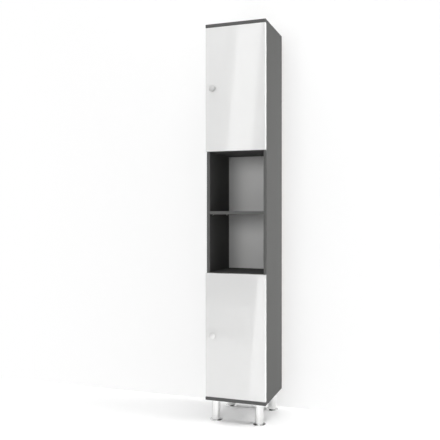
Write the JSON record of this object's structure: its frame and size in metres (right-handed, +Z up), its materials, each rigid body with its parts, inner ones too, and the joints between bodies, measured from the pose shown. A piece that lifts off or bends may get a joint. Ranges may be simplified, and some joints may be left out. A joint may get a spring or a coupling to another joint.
{
  "type": "tall bathroom cabinet",
  "caption": "Narrow tall free-standing bathroom cabinet on tube legs: gloss doors above and below an open niche with a shelf, round knobs, concealed hinges.",
  "frame": {"origin": "on the floor, under the middle of the whole object's outline, knobs included", "axes": "+X to the right seen from the front, +Y from the front to the back, +Z up"},
  "size_m": [0.3, 0.324, 1.9],
  "materials": {
    "graphite_board": "matt melamine on chipboard",
    "white_gloss": "high gloss white lacquer on fibreboard",
    "white_hardboard": "painted hardboard",
    "satin_knob": "satin",
    "satin_metal": "satin",
    "black_plastic": "moulded",
    "graphite_plastic": "moulded",
    "clear_pad": "soft, translucent",
    "beech": "raw, fluted",
    "zinc": "die cast",
    "bright_steel": "plated"
  },
  "bodies": {
    "carcass": {"back_panel": "white_hardboard", "back_panel_nails": "bright_steel", "bottom_panel": "graphite_board", "cam_bolts": "bright_steel", "cam_caps": "graphite_plastic", "cams": "zinc", "front_left_leg": "satin_metal", "front_right_leg": "satin_metal", "hinge_arm_pins": "bright_steel", "hinge_arm_screws": "bright_steel", "hinge_plate_screws": "bright_steel", "left_side": "graphite_board", "leg_plugs": "black_plastic", "leg_screws": "bright_steel", "leg_seats": "bright_steel", "lower_cupboard_shelf": "graphite_board", "lower_door_bottom_hinge_arm": "bright_steel", "lower_door_bottom_hinge_plate": "bright_steel", "lower_door_top_hinge_arm": "bright_steel", "lower_door_top_hinge_plate": "bright_steel", "lower_fixed_shelf": "graphite_board", "niche_shelf": "graphite_board", "rear_left_leg": "satin_metal", "rear_right_leg": "satin_metal", "right_side": "graphite_board", "shelf_pins": "bright_steel", "top_panel": "graphite_board", "upper_cupboard_shelf": "graphite_board", "upper_door_bottom_hinge_arm": "bright_steel", "upper_door_bottom_hinge_plate": "bright_steel", "upper_door_top_hinge_arm": "bright_steel", "upper_door_top_hinge_plate": "bright_steel", "upper_fixed_shelf": "graphite_board", "wall_bracket": "bright_steel", "wall_bracket_screws": "bright_steel", "wood_dowels": "beech"},
    "upper_door": {"upper_door": "white_gloss", "upper_door_bottom_hinge_cup": "bright_steel", "upper_door_pads": "clear_pad", "upper_door_top_hinge_cup": "bright_steel", "upper_hinge_cup_pins": "bright_steel", "upper_hinge_cup_screws": "bright_steel", "upper_knob": "satin_knob", "upper_knob_screw": "bright_steel"},
    "lower_door": {"lower_door": "white_gloss", "lower_door_bottom_hinge_cup": "bright_steel", "lower_door_pads": "clear_pad", "lower_door_top_hinge_cup": "bright_steel", "lower_hinge_cup_pins": "bright_steel", "lower_hinge_cup_screws": "bright_steel", "lower_knob": "satin_knob", "lower_knob_screw": "bright_steel"},
    "upper_hinge_links": {"upper_door_top_hinge_link": "bright_steel", "upper_door_bottom_hinge_link": "bright_steel"},
    "lower_hinge_links": {"lower_door_top_hinge_link": "bright_steel", "lower_door_bottom_hinge_link": "bright_steel"},
    "front_left_foot": {"front_left_foot": "satin_metal"},
    "front_right_foot": {"front_right_foot": "satin_metal"},
    "rear_left_foot": {"rear_left_foot": "satin_metal"},
    "rear_right_foot": {"rear_right_foot": "satin_metal"}
  },
  "joints": [
    {"name": "upper_hinge_link_swing", "type": "hinge", "parent": "carcass", "child": "upper_hinge_links", "pos_m": [0.117, -0.122, 1.58725], "axis": [0, 0, 1], "range_deg": [-40, 0]},
    {"name": "upper_door_swing", "type": "hinge", "parent": "upper_hinge_links", "child": "upper_door", "pos_m": [0.1385, -0.1263, 1.58725], "axis": [0, 0, 1], "range_deg": [0, 140]},
    {"name": "lower_hinge_link_swing", "type": "hinge", "parent": "carcass", "child": "lower_hinge_links", "pos_m": [0.117, -0.122, 0.41275], "axis": [0, 0, 1], "range_deg": [-40, 0]},
    {"name": "lower_door_swing", "type": "hinge", "parent": "lower_hinge_links", "child": "lower_door", "pos_m": [0.1385, -0.1263, 0.41275], "axis": [0, 0, 1], "range_deg": [0, 140]},
    {"name": "front_left_foot_travel", "type": "slide", "parent": "carcass", "child": "front_left_foot", "axis": [0, 0, -1], "range_m": [0, 0.012]},
    {"name": "front_right_foot_travel", "type": "slide", "parent": "carcass", "child": "front_right_foot", "axis": [0, 0, -1], "range_m": [0, 0.012]},
    {"name": "rear_left_foot_travel", "type": "slide", "parent": "carcass", "child": "rear_left_foot", "axis": [0, 0, -1], "range_m": [0, 0.012]},
    {"name": "rear_right_foot_travel", "type": "slide", "parent": "carcass", "child": "rear_right_foot", "axis": [0, 0, -1], "range_m": [0, 0.012]}
  ],
  "couplings": [
    {"joint": "upper_hinge_link_swing", "follows": "upper_door_swing", "ratio": -0.28571},
    {"joint": "lower_hinge_link_swing", "follows": "lower_door_swing", "ratio": -0.28571}
  ]
}
